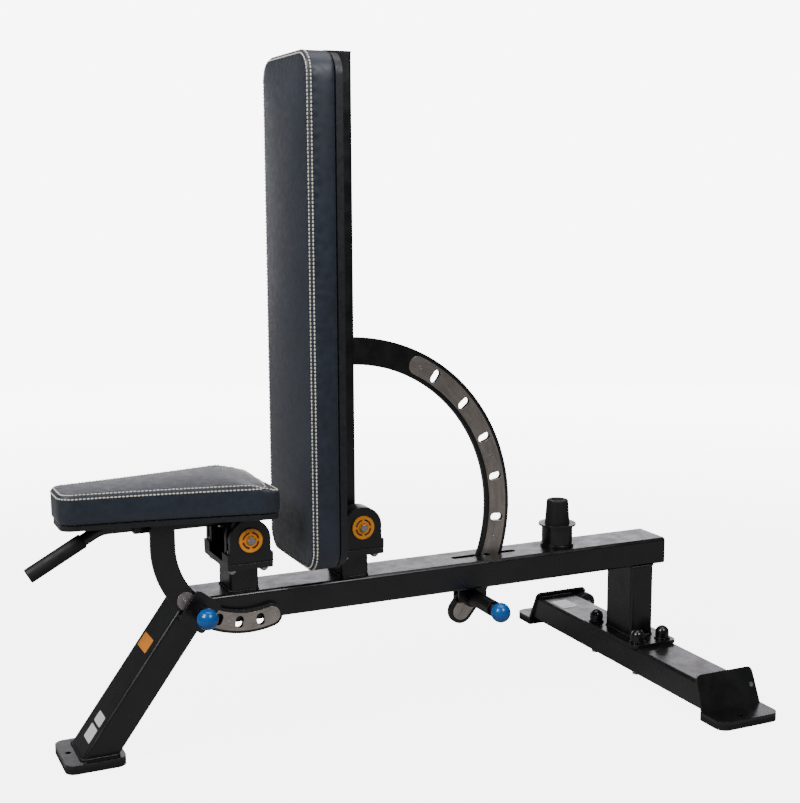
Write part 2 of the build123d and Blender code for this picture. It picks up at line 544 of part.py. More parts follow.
cross_y0 = SEAT_ARC_Y - ARC_T / 2
bridge = block(SEAT_X - arc_out + 2, SEAT_X - arc_in - 2, cross_y0, -seat_tube_w / 2 + 3,
               board_low - 8, board_low)
seat_tube += bridge
handle_z = seat_mid
handle_in = seat_tube_x0 + 60.0
seat_tube -= rod_x(seat_tube_x0 - 1, handle_in + 2, 0, handle_z, BAR_D)
seat_bolt_spots = [(SEAT_X - dx, sy * 17) for dx in (180, 40) for sy in (-1, 1)]
seat_bolts = Part()
for qx, qy in seat_bolt_spots:
    seat_bolts += rod_z(qx, qy, 6.0, board_low - seat_tube_t - 0.5, board_low + 7)
    seat_bolts += hexagon(10, 4, Plane(origin=(qx, qy, board_low - seat_tube_t - 4), z_dir=(0, 0, 1)))
    seat_tube -= rod_z(qx, qy, 6.6, board_low - seat_tube_t - 1, board_low + 1)
parts["seat_frame"] = seat_tube

seat_low = SEAT_PIN_A + SEAT_STEPS * STEP
seat_slots = [SEAT_PIN_A + STEP * i for i in range(SEAT_STEPS + 1)]
arc_y0 = SEAT_ARC_Y - ARC_T / 2
arc_y1 = SEAT_ARC_Y + ARC_T / 2
seat_arc = ring_piece(SEAT_X, 0, SEAT_ARC_R, SEAT_ARC_W, -180.0, seat_low + 8.0, arc_y0, arc_y1)
seat_arc -= block(SEAT_X - 300, SEAT_X - 50, arc_y0 - 1, arc_y1 + 1, 0, 100)
seat_arc += block(SEAT_X - arc_out, SEAT_X - arc_in, arc_y0, arc_y1, 0, board_low - 8.0)
seat_insert = ring_piece(SEAT_X, 0, SEAT_ARC_R, 36.0, SEAT_PIN_A - 12.0, seat_low + 8.0,
                         arc_y0 - INSERT_T, arc_y0)
seat_screws = Part()
for a in seat_slots:
    cut = slot_cut(SEAT_X, 0, SEAT_ARC_R, a, 25.0, SLOT_W, arc_y0 - 10, arc_y1 + 10)
    seat_arc -= cut
    seat_insert -= cut
for a in (SEAT_PIN_A - 13.0, seat_slots[1] + STEP / 2, seat_low + 11.0):
    qx, qz = spot(SEAT_X, 0, SEAT_ARC_R, a)
    hole = rod_y(qx, qz, 4.2, arc_y0 - 10, arc_y1 + 10)
    hole += Pos(qx, arc_y0 - INSERT_T + 1, qz) * Rot(90, 0, 0) * Cone(2.1, 4.1, 2)
    seat_arc -= hole
    seat_insert -= hole
    seat_screws += flat_screw(qx, qz, arc_y0 - INSERT_T)
parts["seat_arc"] = seat_arc
parts["seat_arc_insert"] = seat_insert
parts["seat_insert_screws"] = seat_screws


def seat_outline(inset, z):
    """Plan of the seat: narrow nose, wide rear, as a closed outline at height z."""
    x0 = SEAT_X + SEAT_NOSE + inset
    x1 = SEAT_X + SEAT_REAR - inset
    nose = NOSE_W / 2 - inset
    rear = SEAT_W / 2 - inset
    widest = x1 - 46.0
    mid = (x0 + widest) / 2
    waist = nose + (rear - nose) * 0.42
    lines = Line((x0, -nose + 0.1), (x0, nose - 0.1))
    side = Spline((x0, nose - 0.1), (mid, waist), (widest, rear))
    back = Polyline((widest, rear), (x1, rear), (x1, -rear), (widest, -rear))
    other = Spline((widest, -rear), (mid, -waist), (x0, -nose + 0.1))
    face = make_face(lines + side + back + other)
    nose_points = [v for v in face.vertices() if abs(v.X - x0) < 0.01]
    face = fillet(nose_points, 30 - inset)
    rear_points = [v for v in face.vertices() if abs(v.X - x1) < 0.01]
    face = fillet(rear_points, 26 - inset)
    return Pos(0, 0, z) * face


seat_board = extrude(seat_outline(BOARD_INSET, board_low), amount=SEAT_BOARD_T)
for qx, qy in seat_bolt_spots:
    seat_board -= rod_z(qx, qy, 6.0, board_low - 1, board_low + 7)
parts["seat_board"] = seat_board
seat_soft = extrude(seat_outline(0.0, board_low + SEAT_BOARD_T + SOFT_GAP), amount=SEAT_T - SOFT_GAP)
dip_x = SEAT_X + SEAT_REAR - 64.0
dip = degrees(atan2(SEAT_DIP, 64.0))
seat_soft -= Pos(dip_x, 0, SEAT_TOP) * Rot(0, dip, 0) * Pos(100, 0, 50) * Box(200, 400, 100)
rim = seat_soft.edges().filter_by(lambda e: e.center().Z > SEAT_TOP - SEAT_DIP - 1 and e.length > 1)
rim = [e for e in rim if abs(e.center().Y) > 1 or abs(e.center().X - dip_x) > 1]
seat_soft = fillet(rim, 5.0)
parts["seat_cushion"] = seat_soft
parts["seat_pad_bolts"] = seat_bolts

drop = radians(HANDLE_DROP)
bend_x = SEAT_X - 276.0
tip = 158.0
tip_x = bend_x - tip * cos(drop)
tip_z = handle_z - tip * sin(drop)
route = FilletPolyline((handle_in, 0, handle_z), (bend_x, 0, handle_z), (tip_x, 0, tip_z), radius=60)
bar_face = Plane(origin=(handle_in, 0, handle_z), z_dir=(-1, 0, 0)) * Circle(BAR_D / 2)
bar = sweep(bar_face, path=route)
parts["transport_handle"] = bar
grip_l = 122.0
grip_plane = Plane(origin=(tip_x - 3 * cos(drop), 0, tip_z - 3 * sin(drop)), z_dir=(cos(drop), 0, sin(drop)))
grip = extrude(grip_plane * Circle(GRIP_D / 2), amount=grip_l)
grip = fillet(grip.edges().filter_by(GeomType.CIRCLE), 3.0)
core_plane = Plane(origin=(tip_x, 0, tip_z), z_dir=(cos(drop), 0, sin(drop)))
parts["handle_grip"] = grip - extrude(core_plane * Circle(BAR_D / 2), amount=grip_l)

# ---- placing and writing ----------------------------------------------------------------------
everything = Compound(children=[Compound(p.solids()) for p in parts.values()])
bounds = everything.bounding_box()
shift = Pos(-(bounds.min.X + bounds.max.X) / 2, 0, -bounds.min.Z)
os.makedirs("parts", exist_ok=True)
for name, piece in parts.items():
    solids = piece.solids()
    whole = solids[0] if len(solids) == 1 else Compound(solids)
    moved = shift * whole
    moved.label = name
    export_step(moved, os.path.join("parts", name + ".step"))
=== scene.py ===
"""Looks of the adjustable weight bench: painted tube frame, vinyl pads with cream stitching,
brushed locking plates, blue pin knobs and orange hub caps."""
import math

import bmesh
import bpy
from mathutils import Matrix, Vector
from mathutils.bvhtree import BVHTree


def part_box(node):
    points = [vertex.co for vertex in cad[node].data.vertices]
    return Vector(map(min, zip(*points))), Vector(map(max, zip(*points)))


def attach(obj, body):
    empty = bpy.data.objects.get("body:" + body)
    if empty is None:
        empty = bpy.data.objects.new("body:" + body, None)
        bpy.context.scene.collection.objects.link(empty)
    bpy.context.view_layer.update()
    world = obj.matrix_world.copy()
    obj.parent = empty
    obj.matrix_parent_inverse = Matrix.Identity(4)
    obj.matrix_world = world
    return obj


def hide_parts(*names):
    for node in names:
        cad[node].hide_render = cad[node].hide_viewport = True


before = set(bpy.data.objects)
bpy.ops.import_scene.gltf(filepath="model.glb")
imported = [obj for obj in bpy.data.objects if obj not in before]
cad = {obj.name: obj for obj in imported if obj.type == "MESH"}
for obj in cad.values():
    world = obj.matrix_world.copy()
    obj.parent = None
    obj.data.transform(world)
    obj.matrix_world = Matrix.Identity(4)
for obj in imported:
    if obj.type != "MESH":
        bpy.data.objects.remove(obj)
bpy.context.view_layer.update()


def middle(node):
    low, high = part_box(node)
    return (low + high) / 2


back_pivot = middle("back_shaft")
seat_pivot = middle("seat_shaft")


# ---------------------------------------------------------------- material building
class Finish:
    """A Principled material with its nodes close at hand."""

    def __init__(self, name, colour, roughness, metallic=0.0, centre=(0, 0, 0)):
        self.material = bpy.data.materials.new(name)
        self.material.use_nodes = True
        self.nodes = self.material.node_tree.nodes
        self.links = self.material.node_tree.links
        self.shader = self.nodes["Principled BSDF"]
        self.shader.inputs["Base Color"].default_value = (*colour, 1)
        self.shader.inputs["Roughness"].default_value = roughness
        self.shader.inputs["Metallic"].default_value = metallic
        where = self.nodes.new("ShaderNodeTexCoord")
        place = self.nodes.new("ShaderNodeMapping")
        place.vector_type = "TEXTURE"
        place.inputs["Location"].default_value = centre
        self.links.new(where.outputs["Object"], place.inputs["Vector"])
        self.place = place.outputs["Vector"]
        self.relief = None
        self.material.diffuse_color = (*colour, 1)

    def set(self, **values):
        for key, value in values.items():
            self.shader.inputs[key.replace("_", " ")].default_value = value
        return self

    def math(self, kind, a, b=0.0):
        node = self.nodes.new("ShaderNodeMath")
        node.operation = kind
        for socket, value in ((node.inputs[0], a), (node.inputs[1], b)):
            if hasattr(value, "is_linked"):
                self.links.new(value, socket)
            else:
                socket.default_value = value
        return node.outputs[0]

    def noise(self, scale, detail=3.0, roughness=0.55, at=None):
        node = self.nodes.new("ShaderNodeTexNoise")
        node.inputs["Scale"].default_value = scale
        node.inputs["Detail"].default_value = detail
        node.inputs["Roughness"].default_value = roughness
        self.links.new(at or self.place, node.inputs["Vector"])
        return node.outputs["Fac"]

    def cells(self, scale):
        node = self.nodes.new("ShaderNodeTexVoronoi")
        node.inputs["Scale"].default_value = scale
        self.links.new(self.place, node.inputs["Vector"])
        return node.outputs["Distance"]

    def band(self, value, low, high, to_low=0.0, to_high=1.0):
        node = self.nodes.new("ShaderNodeMapRange")
        node.interpolation_type = "SMOOTHSTEP"
        for key, number in (("From Min", low), ("From Max", high), ("To Min", to_low), ("To Max", to_high)):
            node.inputs[key].default_value = number
        self.links.new(value, node.inputs["Value"])
        return node.outputs["Result"]

    def colours(self, value, stops):
        node = self.nodes.new("ShaderNodeValToRGB")
        ramp = node.color_ramp
        while len(ramp.elements) < len(stops):
            ramp.elements.new(0.5)
        for element, (position, colour) in zip(ramp.elements, stops):
            element.position = position
            element.color = (*colour, 1)
        self.links.new(value, node.inputs["Fac"])
        return node.outputs["Color"]

    def blend(self, factor, a, b):
        node = self.nodes.new("ShaderNodeMix")
        node.data_type = "RGBA"
        for key, value in (("Factor", factor), ("A", a), ("B", b)):
            socket = [s for s in node.inputs if s.name == key and s.type in ("RGBA", "VALUE")]
            socket = socket[0] if key == "Factor" else [s for s in socket if s.type == "RGBA"][0]
            if hasattr(value, "is_linked"):
                self.links.new(value, socket)
            elif key == "Factor":
                socket.default_value = value
            else:
                socket.default_value = (*value, 1)
        return [s for s in node.outputs if s.type == "RGBA"][0]

    def colour(self, socket):
        self.links.new(socket, self.shader.inputs["Base Color"])
        return self

    def rough(self, socket):
        self.links.new(socket, self.shader.inputs["Roughness"])
        return self

    def bump(self, height, distance, strength=1.0):
        node = self.nodes.new("ShaderNodeBump")
        node.inputs["Distance"].default_value = distance
        node.inputs["Strength"].default_value = strength
        self.links.new(height, node.inputs["Height"])
        if self.relief is not None:
            self.links.new(self.relief, node.inputs["Normal"])
        self.relief = node.outputs["Normal"]
        self.links.new(self.relief, self.shader.inputs["Normal"])
        return self

    def soft_edges(self, radius):
        node = self.nodes.new("ShaderNodeBevel")
        node.samples = 4
        node.inputs["Radius"].default_value = radius
        self.relief = node.outputs["Normal"]
        self.links.new(self.relief, self.shader.inputs["Normal"])
        return self

    def attribute(self, name):
        node = self.nodes.new("ShaderNodeAttribute")
        node.attribute_name = name
        return node.outputs["Fac"]

    def split(self):
        node = self.nodes.new("ShaderNodeSeparateXYZ")
        self.links.new(self.place, node.inputs["Vector"])
        return node.outputs["X"], node.outputs["Y"], node.outputs["Z"]

    def join(self, x, y, z):
        node = self.nodes.new("ShaderNodeCombineXYZ")
        for socket, value in zip(node.inputs, (x, y, z)):
            if hasattr(value, "is_linked"):
                self.links.new(value, socket)
            else:
                socket.default_value = value
        return node.outputs["Vector"]

    def round_axis(self):
        """Distance from the Y axis and the turn round it."""
        x, y, z = self.split()
        reach = self.math("SQRT", self.math("ADD", self.math("MULTIPLY", x, x), self.math("MULTIPLY", z, z)))
        return reach, self.math("ARCTAN2", z, x), y


def powder_coat(name, tint=(0.0032, 0.0031, 0.0035), roughness=0.30):
    """Satin black powder coat: orange peel, faint dust and softened edges."""
    f = Finish(name, tint, roughness)
    f.set(Specular_IOR_Level=0.55, Coat_Weight=0.25, Coat_Roughness=0.22)
    f.soft_edges(0.0012)
    cloud = f.noise(7.0, 4.0)
    dust = f.noise(160.0, 5.0, 0.7)
    pale = tuple(c * 1.8 + 0.0012 for c in tint)
    tone = f.colours(cloud, [(0.35, tint), (0.75, pale)])
    tone = f.blend(f.band(dust, 0.66, 0.86, 0.0, 0.22), tone, (0.035, 0.034, 0.037))
    f.colour(tone)
    f.rough(f.band(f.noise(26.0, 4.0), 0.3, 0.75, roughness - 0.06, roughness + 0.12))
    f.bump(f.noise(950.0, 2.0), 0.00007, 0.55)
    f.bump(f.noise(240.0, 2.0), 0.00010, 0.4)
    return f.material


def turned_steel(name, centre, colour=(0.50, 0.445, 0.40)):
    """Brushed stainless plate whose grain follows the arc round its pivot."""
    f = Finish(name, colour, 0.33, 1.0, centre=centre)
    f.soft_edges(0.0005)
    reach, turn, y = f.round_axis()
    fine = f.join(f.math("MULTIPLY", reach, 2600.0), f.math("MULTIPLY", turn, 9.0), 0.0)
    coarse = f.join(f.math("MULTIPLY", reach, 90.0), f.math("MULTIPLY", turn, 5.0), 3.0)
    lines = f.noise(1.0, 5.0, 0.75, at=fine)
    broad = f.noise(1.0, 3.0, 0.6, at=coarse)
    dark = tuple(c * 0.62 for c in colour)
    light = tuple(min(1.0, c * 1.45) for c in colour)
    f.colour(f.blend(0.55, f.colours(lines, [(0.3, dark), (0.7, light)]),
                     f.colours(broad, [(0.3, dark), (0.75, light)])))
    f.rough(f.band(lines, 0.3, 0.7, 0.26, 0.46))
    f.bump(lines, 0.00004, 0.6)
    return f.material


def zinc(name, colour=(0.56, 0.56, 0.575), roughness=0.3):
    """Bright plated steel: small spangles under a soft cloudiness."""
    f = Finish(name, colour, roughness, 1.0)
    f.soft_edges(0.0006)
    spangle = f.cells(420.0)
    cloud = f.noise(70.0, 4.0)
    dark = tuple(c * 0.66 for c in colour)
    f.colour(f.blend(0.35, f.colours(cloud, [(0.3, dark), (0.7, colour)]),
                     f.colours(spangle, [(0.1, dark), (0.8, colour)])))
    f.rough(f.band(cloud, 0.3, 0.7, roughness - 0.07, roughness + 0.12))
    f.bump(f.noise(900.0, 3.0), 0.00004, 0.5)
    return f.material


def rubber(name, tint=(0.012, 0.012, 0.013), roughness=0.62, grain=700.0):
    """Dull moulded rubber with a fine grain."""
    f = Finish(name, tint, roughness)
    f.set(Specular_IOR_Level=0.4)
    f.soft_edges(0.0012)
    cloud = f.noise(30.0, 5.0)
    f.colour(f.colours(cloud, [(0.35, tint), (0.75, tuple(c * 2.2 for c in tint))]))
    f.rough(f.band(cloud, 0.3, 0.7, roughness - 0.1, roughness + 0.12))
    f.bump(f.noise(grain, 3.0), 0.00012, 0.7)
    return f.material


def plastic(name, colour, roughness, shade=0.6):
    """Moulded plastic with a little depth of colour and a fine skin."""
    f = Finish(name, colour, roughness)
    f.set(Specular_IOR_Level=0.5, Coat_Weight=0.35, Coat_Roughness=0.12)
    f.soft_edges(0.0008)
    cloud = f.noise(55.0, 3.0)
    f.colour(f.colours(cloud, [(0.35, tuple(c * shade for c in colour)), (0.7, colour)]))
    f.rough(f.band(cloud, 0.3, 0.7, max(0.05, roughness - 0.05), roughness + 0.07))
    f.bump(f.noise(420.0, 2.0), 0.00005, 0.35)
    return f.material


def hub_cap(name, centre):
    """Orange cap with a broken black ring and a thin black inner line."""
    f = Finish(name, (0.86, 0.27, 0.006), 0.36, centre=centre)
    f.set(Specular_IOR_Level=0.5, Coat_Weight=0.3, Coat_Roughness=0.15)
    f.soft_edges(0.0006)
    reach, turn, y = f.round_axis()
    cloud = f.noise(60.0, 3.0)
    orange = f.colours(cloud, [(0.35, (0.88, 0.27, 0.004)), (0.7, (1.0, 0.37, 0.008))])
    ring = f.math("MULTIPLY", f.band(reach, 0.0138, 0.0144), f.band(reach, 0.0172, 0.0178, 1.0, 0.0))
    wave = f.math("ABSOLUTE", f.math("SINE", f.math("MULTIPLY", turn, 2.0)))
    dashes = f.band(wave, 0.30, 0.36)
    hub = f.band(reach, 0.0092, 0.0098, 1.0, 0.0)
    hub = f.math("MULTIPLY", hub, f.band(reach, 0.0082, 0.0088))
    mark = f.math("MAXIMUM", f.math("MULTIPLY", ring, dashes), hub)
    f.colour(f.blend(mark, orange, (0.012, 0.010, 0.010)))
    f.rough(f.band(cloud, 0.3, 0.7, 0.3, 0.42))
    f.bump(f.noise(500.0, 2.0), 0.00004, 0.3)
    return f.material


def vinyl(name, tint=(0.015, 0.0215, 0.034), paint_seam_shade=True):
    """Grained vinyl: small pebbles, soft creases, paler wear, and painted shade along the sunk seams and the
    base lip.
    """
    f = Finish(name, tint, 0.46)
    f.set(Specular_IOR_Level=0.5, Coat_Weight=0.08, Coat_Roughness=0.35)
    f.set(Sheen_Weight=0.18, Sheen_Roughness=0.45)
    bend = f.noise(60.0, 2.0)
    cloud = f.noise(9.0, 4.0)
    mottled = f.noise(70.0, 4.0, 0.6)
    pebble = f.cells(760.0)
    pale = tuple(c * 1.6 for c in tint)
    dark = tuple(c * 0.72 for c in tint)
    tone = f.blend(0.45, f.colours(cloud, [(0.32, dark), (0.7, pale)]),
                   f.colours(mottled, [(0.3, dark), (0.72, pale)]))
    tone = f.blend(f.band(pebble, 0.0, 0.5, 0.0, 0.3), tone, dark)
    # painted shade: the sunk seam groove and the base lip are darkened nearly to black
    if paint_seam_shade:
        seam_groove_shade = f.attribute("seam_groove_shade")
        tone = f.blend(seam_groove_shade, tone, (0.006, 0.0065, 0.008))
    f.colour(tone)
    f.rough(f.band(mottled, 0.3, 0.72, 0.38, 0.54))
    f.bump(bend, 0.0006, 0.35)
    f.bump(pebble, 0.00022, 0.55)
    f.bump(f.noise(1500.0, 2.0), 0.00006, 0.4)
    return f.material


def thread(name):
    """Cream sewing thread with a fine twist."""
    f = Finish(name, (0.78, 0.74, 0.64), 0.62)
    f.set(Sheen_Weight=0.3, Sheen_Roughness=0.4)
    twist = f.noise(1600.0, 2.0)
    tone = f.noise(45.0, 3.0)
    f.colour(f.blend(0.5, f.colours(twist, [(0.3, (0.62, 0.57, 0.47)), (0.7, (0.90, 0.87, 0.78))]),
                     f.colours(tone, [(0.3, (0.66, 0.62, 0.52)), (0.7, (0.88, 0.85, 0.75))])))
    f.rough(f.band(twist, 0.3, 0.7, 0.5, 0.75))
    f.bump(twist, 0.0002, 0.7)
    return f.material


def paper(name, colour):
    """Plain printed sticker with no wording: flat colour, slight scuffs, glossy film."""
    f = Finish(name, colour, 0.35)
    f.set(Coat_Weight=0.3, Coat_Roughness=0.2)
    scuff = f.noise(220.0, 5.0, 0.7)
    worn = tuple(c * 0.78 for c in colour)
    f.colour(f.colours(scuff, [(0.32, worn), (0.5, colour)]))
    f.rough(f.band(scuff, 0.3, 0.7, 0.28, 0.5))
    f.bump(scuff, 0.00005, 0.4)
    return f.material


def weld_metal(name):
    """Painted weld bead: the same black with a livelier surface."""
    f = Finish(name, (0.0034, 0.0033, 0.0037), 0.34)
    f.set(Specular_IOR_Level=0.55, Coat_Weight=0.25, Coat_Roughness=0.25)
    spatter = f.noise(420.0, 4.0, 0.65)
    f.colour(f.colours(spatter, [(0.35, (0.003, 0.0029, 0.0032)), (0.75, (0.010, 0.0098, 0.011))]))
    f.rough(f.band(spatter, 0.3, 0.7, 0.3, 0.5))
    f.bump(spatter, 0.0002, 0.6)
    return f.material


black = powder_coat("powder_coat")
weld = weld_metal("weld_paint")
white_label = paper("white_label", (0.86, 0.86, 0.87))
orange_label = paper("orange_label", (0.90, 0.30, 0.03))
cast = powder_coat("bearing_paint", (0.0028, 0.0027, 0.0030), 0.38)
bright = zinc("zinc_plate")
dull = zinc("oiled_steel", (0.30, 0.30, 0.31), 0.36)
foot_rubber = rubber("foot_rubber", (0.0055, 0.0055, 0.006))
grip_rubber = rubber("grip_rubber", (0.006, 0.006, 0.007), 0.5, 520.0)
wheel_rubber = rubber("wheel_rubber", (0.007, 0.007, 0.008), 0.45, 900.0)
cap_black = plastic("cap_black", (0.005, 0.005, 0.006), 0.26)
blue = plastic("knob_blue", (0.002, 0.12, 0.44), 0.16, 0.75)
pad_vinyl = vinyl("pad_vinyl")
board_vinyl = vinyl("board_vinyl", (0.007, 0.008, 0.010), paint_seam_shade=False)
cream = thread("cream_thread")
back_steel = turned_steel("back_plate_steel", back_pivot)
seat_steel = turned_steel("seat_plate_steel", seat_pivot)
back_orange = hub_cap("back_hub_orange", back_pivot)
seat_orange = hub_cap("seat_hub_orange", seat_pivot)

by_node = {
    "back_arc_insert": back_steel, "seat_arc_insert": seat_steel,
    "back_end_caps": back_orange, "seat_end_caps": seat_orange,
    "back_knob": blue, "seat_knob": blue,
    "front_foot_pad": foot_rubber, "rear_foot_pads": foot_rubber, "bumper_rubber": foot_rubber,
    "handle_grip": grip_rubber, "wheel_near": wheel_rubber, "wheel_far": wheel_rubber,
    "flange_bolt_caps": cap_black, "back_board": board_vinyl, "seat_board": board_vinyl,
    "bearing_rings": dull, "pin_springs": dull, "back_shaft": dull, "seat_shaft": dull,
    "back_bearing_near": cast, "back_bearing_far": cast, "seat_bearing_near": cast, "seat_bearing_far": cast,
    "back_cushion": pad_vinyl, "seat_cushion": pad_vinyl,
}
bright_ends = ("_screws", "_screw", "_bolts", "_plunger", "_axles")
for name, node in cad.items():
    material = by_node.get(name) or (bright if name.endswith(bright_ends) else black)
    node.data.materials.clear()
    node.data.materials.append(material)


# ---------------------------------------------------------------- small mesh helpers
def piece(name, bm, material, body, smooth=True):
    """Turns a bmesh into an object at the origin that rides on a body."""
    mesh = bpy.data.meshes.new(name)
    bm.to_mesh(mesh)
    bm.free()
    obj = bpy.data.objects.new(name, mesh)
    bpy.context.scene.collection.objects.link(obj)
    mesh.materials.append(material)
    for polygon in mesh.polygons:
        polygon.use_smooth = smooth
    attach(obj, body)
    return obj


# ---------------------------------------------------------------- pads
def outline(node, axis, at_low):
    """The edge of a pad's flat base, in order, as points in the base plane."""
    low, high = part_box(node)
    level = (low if at_low else high)[axis]
    u, v = [i for i in range(3) if i != axis]
    centre = (low + high) / 2
    found = {}
    for vertex in cad[node].data.vertices:
        if abs(vertex.co[axis] - level) < 1e-5:
            key = (round(vertex.co[u], 5), round(vertex.co[v], 5))
            found[key] = math.atan2(key[1] - centre[v], key[0] - centre[u])
    return sorted(found, key=found.get), (u, v)


def evenly(points, pitch):
    """Points a pitch apart round a closed outline, each with its outward direction."""
    closed = points + points[:1]
    lengths = [math.dist(a, b) for a, b in zip(closed, closed[1:])]
    total = sum(lengths)
    count = int(total / pitch)
    result = []
    index, gone = 0, 0.0
    for i in range(count):
        want = total * i / count
        while gone + lengths[index] < want:
            gone += lengths[index]
            index += 1
        a, b = closed[index], closed[index + 1]
        t = (want - gone) / lengths[index]
        dx, dy = (b[0] - a[0]) / lengths[index], (b[1] - a[1]) / lengths[index]
        result.append(((a[0] + (b[0] - a[0]) * t, a[1] + (b[1] - a[1]) * t), (dx, dy), (dy, -dx)))
    return result


def puff(node, name, body, axis, sign, voxel, cap, shrink):
    """A stuffed cover grown from a pad solid: cloth blown up between seams that stay put."""
    low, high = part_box(node)
    front = (high if sign > 0 else low)[axis]
    rear = (low if sign > 0 else high)[axis]
    mesh = cad[node].data.copy()
    mesh.name = name
    obj = bpy.data.objects.new(name, mesh)
    bpy.context.scene.collection.objects.link(obj)
    bm = bmesh.new()
    bm.from_mesh(mesh)
    bmesh.ops.remove_doubles(bm, verts=bm.verts, dist=1e-5)
    centre = (low + high) / 2
    size = high - low
    for vertex in bm.verts:
        for i in range(3):
            if i != axis:
                vertex.co[i] = centre[i] + (vertex.co[i] - centre[i]) * (1 - 2 * shrink / size[i])
    bm.to_mesh(mesh)
    bm.free()
    remesh = obj.modifiers.new("remesh", "REMESH")
    remesh.mode = "VOXEL"
    remesh.voxel_size = voxel
    settle(obj)
    rest = [v.co.copy() for v in obj.data.vertices]
    points, (u, v) = outline(node, axis, sign > 0)
    ring = evenly(points, 0.004)
    flat = BVHTree.FromPolygons(*rail(ring, u, v, axis, front, rear))
    held = obj.vertex_groups.new(name="held")
    for index, co in enumerate(rest):
        from_front, from_rear = abs(co[axis] - front), abs(co[axis] - rear)
        inside = flat.find_nearest(co)[3]
        if from_rear < 0.003 or (inside < 0.007 and from_front < 0.007):
            held.add([index], 1.0, "REPLACE")
    cloth = obj.modifiers.new("cloth", "CLOTH")
    cloth.settings.vertex_group_mass = "held"
    cloth.settings.quality = 4
    cloth.settings.use_pressure = True
    cloth.settings.uniform_pressure_force = 4.0
    cloth.settings.tension_stiffness = 25
    cloth.settings.compression_stiffness = 25
    cloth.settings.shear_stiffness = 12
    cloth.settings.bending_stiffness = 2.0
    cloth.settings.effector_weights.gravity = 0.0
    cloth.point_cache.frame_start = 1
    cloth.point_cache.frame_end = 20
    scene = bpy.context.scene
    for number in range(1, 21):
        scene.frame_set(number)
    settle(obj)
    scene.frame_set(1)
    for vertex, start in zip(obj.data.vertices, rest):
        move = vertex.co - start
        if move.length > cap:
            vertex.co = start + move.normalized() * cap
    smooth_faces(obj, 3)
    subdivide = obj.modifiers.new("subdivide", "SUBSURF")
    subdivide.levels = subdivide.render_levels = 1
    settle(obj)
    return obj, front, rear, points, (u, v)


def rail(ring, u, v, axis, front, rear):
    """A plain wall standing on the outline from rear to front, to measure distances from."""
    verts, faces = [], []
    for level in (front, rear):
        for (a, b), _, _ in ring:
            co = [0.0, 0.0, 0.0]
            co[u], co[v], co[axis] = a, b, level
            verts.append(co)
    n = len(ring)
    for i in range(n):
        j = (i + 1) % n
        faces.append((i, j, n + j, n + i))
    return verts, faces


def settle(obj):
    """Applies an object's modifiers to its mesh."""
    bpy.context.view_layer.update()
    baked = bpy.data.meshes.new_from_object(obj.evaluated_get(bpy.context.evaluated_depsgraph_get()))
    obj.modifiers.clear()
    obj.data = baked


def smooth_faces(obj, rounds):
    bm = bmesh.new()
    bm.from_mesh(obj.data)
    for _ in range(rounds):
        bmesh.ops.smooth_vert(bm, verts=bm.verts, factor=0.5,
                              use_axis_x=True, use_axis_y=True, use_axis_z=True)
    bm.to_mesh(obj.data)
    bm.free()


def finish_cover(obj, node, body, material, axis, sign, front, rear, points, uv):
    """Sinks the seam lines, puckers the vinyl beside them and writes a mask of painted shade for the seam
    groove and the base lip.
    """
    u, v = uv
    ring = evenly(points, 0.004)
    wall = BVHTree.FromPolygons(*rail(ring, u, v, axis, front, rear))
    mesh = obj.data
    shade_mask = mesh.attributes.new("seam_groove_shade", "FLOAT", "POINT")
    values = []
    normals = [n.vector.copy() for n in mesh.vertex_normals]
    for index, vertex in enumerate(mesh.vertices):
        co = vertex.co
        depth = abs(co[axis] - front)
        inside = wall.find_nearest(co)[3]
        edge = math.hypot(max(0.0, inside - 0.0015), max(0.0, depth - 0.0015))
        seam_groove_shade = math.exp(-(edge / 0.0021) ** 2)
        lip = math.exp(-(abs(co[axis] - rear) / 0.0022) ** 2)
        along = co[u] * 310.0 + co[v] * 290.0
        pucker = math.sin(along) * math.exp(-((edge - 0.011) / 0.007) ** 2)
        vertex.co = co - normals[index] * (0.0013 * seam_groove_shade + 0.0012 * lip - 0.00028 * pucker)
        # painted shade: darkest in the sunk seam groove and where the cover tucks against the board
        values.append(min(1.0, 0.75 * seam_groove_shade + 0.6 * lip))
    shade_mask.data.foreach_set("value", values)
    mesh.materials.clear()
    mesh.materials.append(material)
    for polygon in mesh.polygons:
        polygon.use_smooth = True
    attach(obj, body)
    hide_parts(node)


STITCH_SIZE = (0.0033, 0.0018, 0.0012, 1)      # half length, half width and half height of a stitch


def stitches(name, cover, body, axis, sign, front, points, uv, inset, depth, pitch=0.0072):
    """Two rows of thread, one on the face and one on the side, following the cover's surface."""
    u, v = uv
    surface = BVHTree.FromPolygons([p.co.copy() for p in cover.data.vertices],
                                   [tuple(p.vertices) for p in cover.data.polygons])
    bm = bmesh.new()
    out = Vector((0, 0, 0))
    out[axis] = sign
    for (a, b), (ta, tb), (na, nb) in evenly(points, pitch):
        side = Vector((0, 0, 0))
        side[u], side[v] = na, nb
        along = Vector((0, 0, 0))
        along[u], along[v] = ta, tb
        base = Vector((0, 0, 0))
        base[u], base[v], base[axis] = a, b, front
        face_row = (base - side * inset + out * 0.03, -out)
        side_row = (base + side * 0.03 - out * depth, -side)
        for start, aim in (face_row, side_row):
            hit, normal, _, _ = surface.ray_cast(start, aim, 0.06)
            if hit is None:
                continue
            across = along.cross(normal).normalized()
            turn = Matrix((along, across, normal)).transposed().to_4x4()
            place = Matrix.Translation(hit + normal * 0.0003) @ turn
            bmesh.ops.create_uvsphere(bm, u_segments=6, v_segments=5, radius=1.0,
                                      matrix=place @ Matrix.Diagonal(STITCH_SIZE))
    return piece(name, bm, cream, body)


